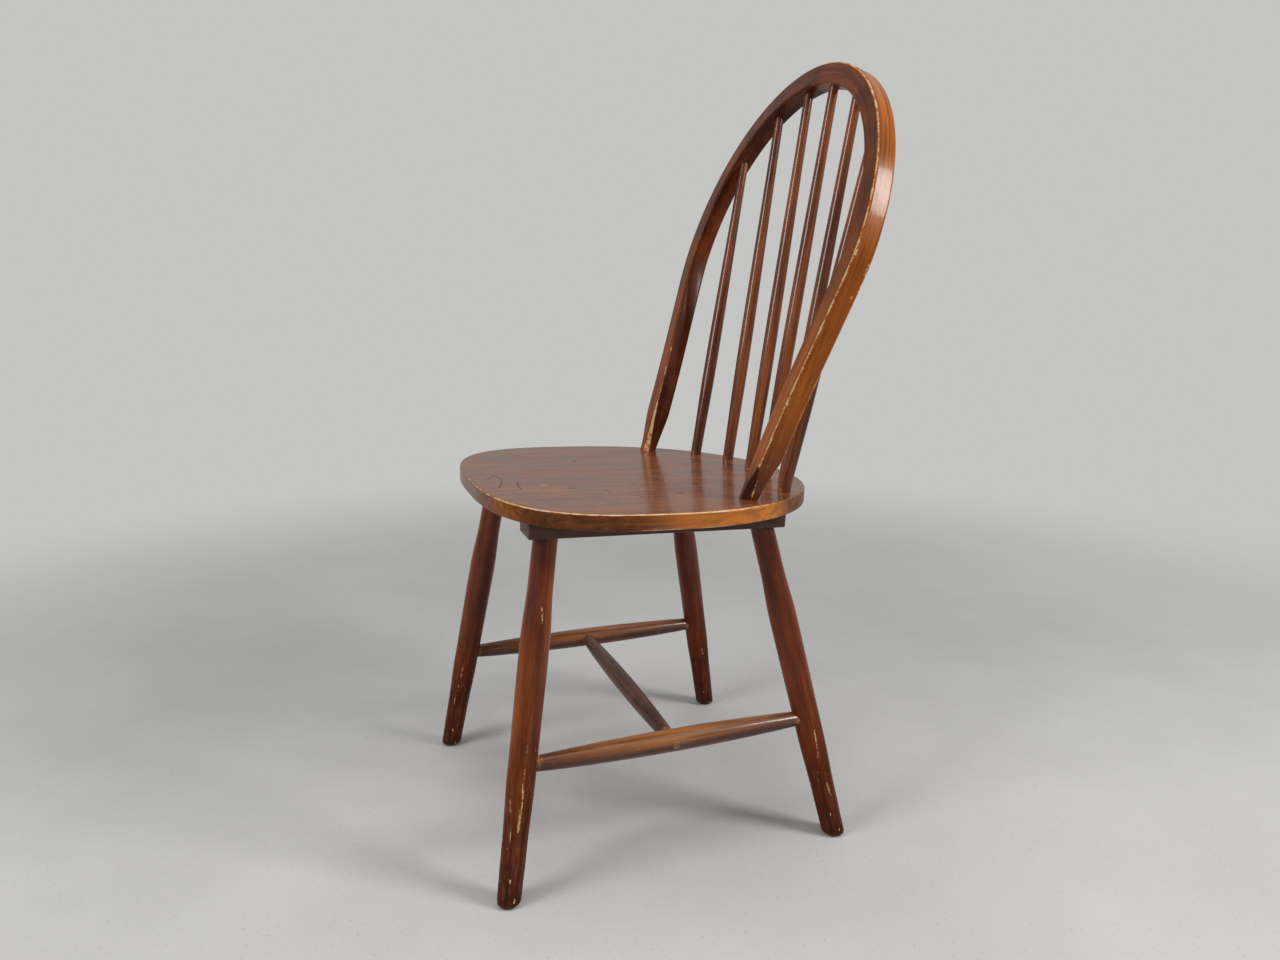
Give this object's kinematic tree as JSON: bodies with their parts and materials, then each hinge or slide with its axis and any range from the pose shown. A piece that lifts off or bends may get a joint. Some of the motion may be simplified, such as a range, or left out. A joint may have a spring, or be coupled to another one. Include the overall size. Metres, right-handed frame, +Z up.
{
  "type": "side chair",
  "caption": "Worn wooden hoop-back side chair with a flat rounded seat, bent bow, turned spindles, splayed legs and an H stretcher.",
  "frame": {"origin": "centre of the chair's outline seen from above, on the floor under the feet", "axes": "+Z up, -Y towards the front of the seat, +X towards the sitter's left"},
  "size_m": [0.4516, 0.4874, 0.9119],
  "materials": {
    "seat_wood": "satin",
    "bow_wood": "satin",
    "spindle_wood": "satin",
    "leg_wood": "satin",
    "batten_wood": "matte",
    "stretcher_wood": "satin",
    "peg_wood": "satin",
    "glide_plastic": "matte"
  },
  "bodies": {
    "root": {"seat": "seat_wood", "bow": "bow_wood", "spindle_1": "spindle_wood", "spindle_2": "spindle_wood", "spindle_3": "spindle_wood", "spindle_4": "spindle_wood", "spindle_5": "spindle_wood", "spindle_6": "spindle_wood", "batten_left": "batten_wood", "batten_right": "batten_wood", "leg_front_left": "leg_wood", "leg_front_right": "leg_wood", "leg_rear_left": "leg_wood", "leg_rear_right": "leg_wood", "glide_front_left": "glide_plastic", "glide_front_right": "glide_plastic", "glide_rear_left": "glide_plastic", "glide_rear_right": "glide_plastic", "side_stretcher_left": "stretcher_wood", "side_stretcher_right": "stretcher_wood", "cross_stretcher": "stretcher_wood", "peg_left": "peg_wood", "peg_right": "peg_wood"}
  },
  "joints": []
}
